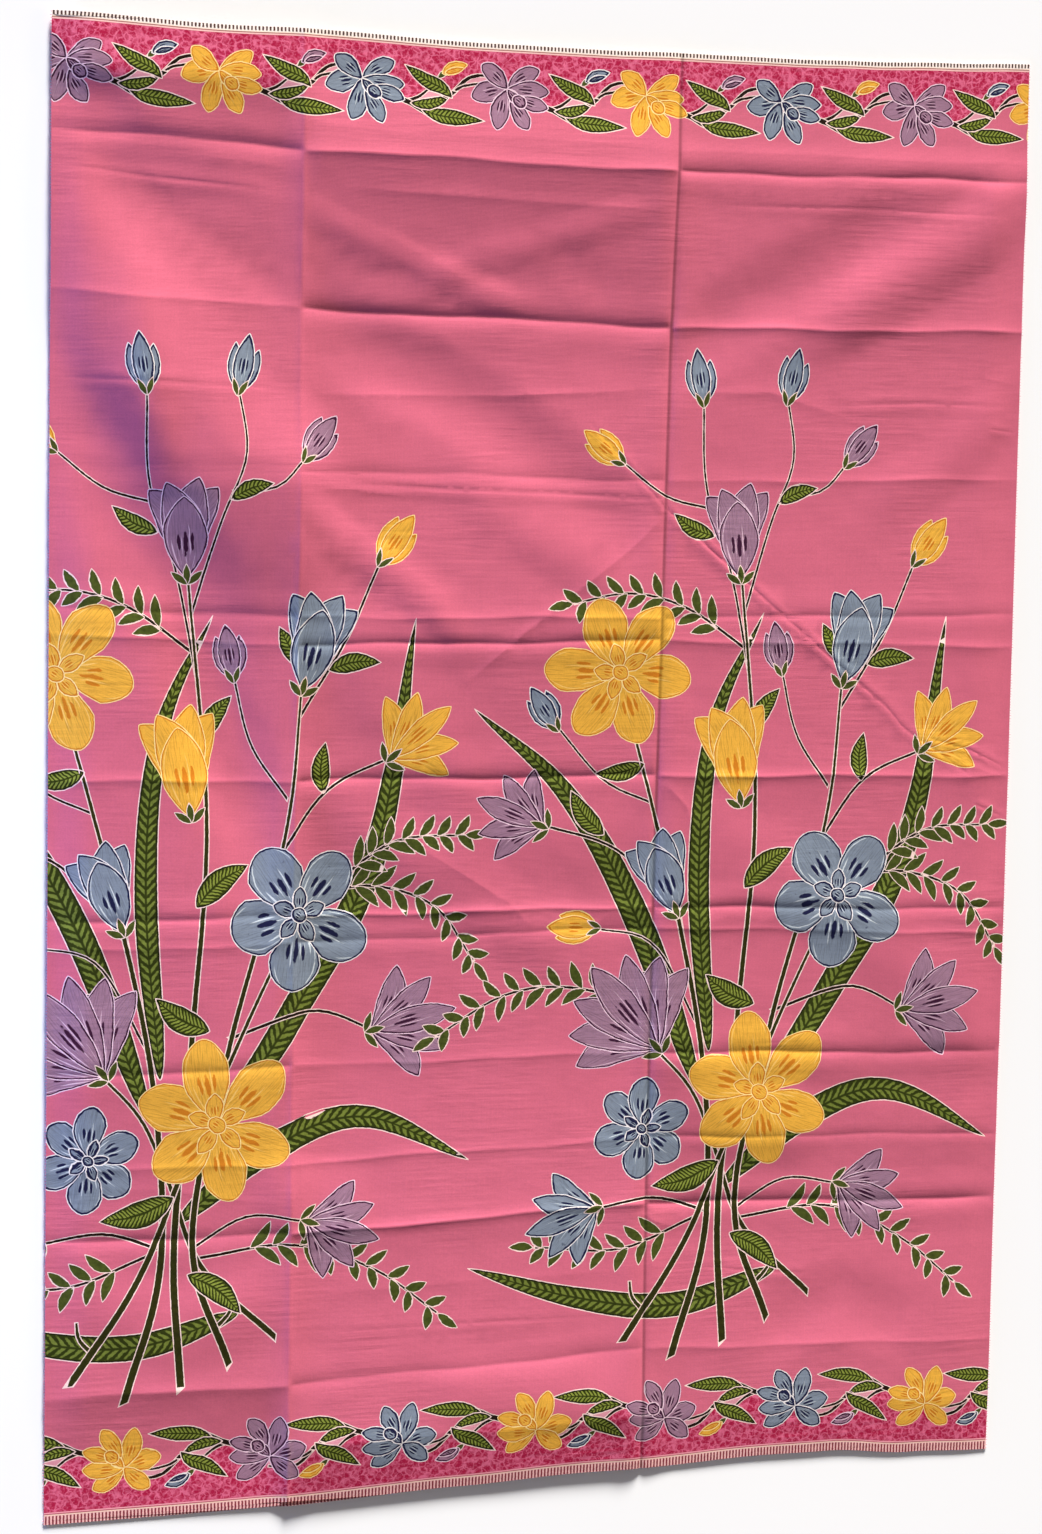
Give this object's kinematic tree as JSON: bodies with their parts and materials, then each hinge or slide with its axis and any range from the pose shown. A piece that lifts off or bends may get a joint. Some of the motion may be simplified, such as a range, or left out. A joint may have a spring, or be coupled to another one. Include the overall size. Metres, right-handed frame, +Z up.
{
  "type": "batik cloth panel",
  "caption": "Flat panel of floral batik cotton, selvedge to selvedge, opened out and lying on a surface with the ridges and valleys of its folding.",
  "frame": {"origin": "middle of the panel, on the surface that it lies on", "axes": "+X along the selvedges to the right end, +Y from the bottom selvedge to the top selvedge, +Z up from the surface"},
  "size_m": [0.778, 1.12, 0.0077],
  "materials": {
    "batik_cotton": "plain-woven cotton, matt with a faint sheen, pink ground with crimson borders"
  },
  "bodies": {
    "root": {"cloth": "batik_cotton"}
  },
  "joints": []
}
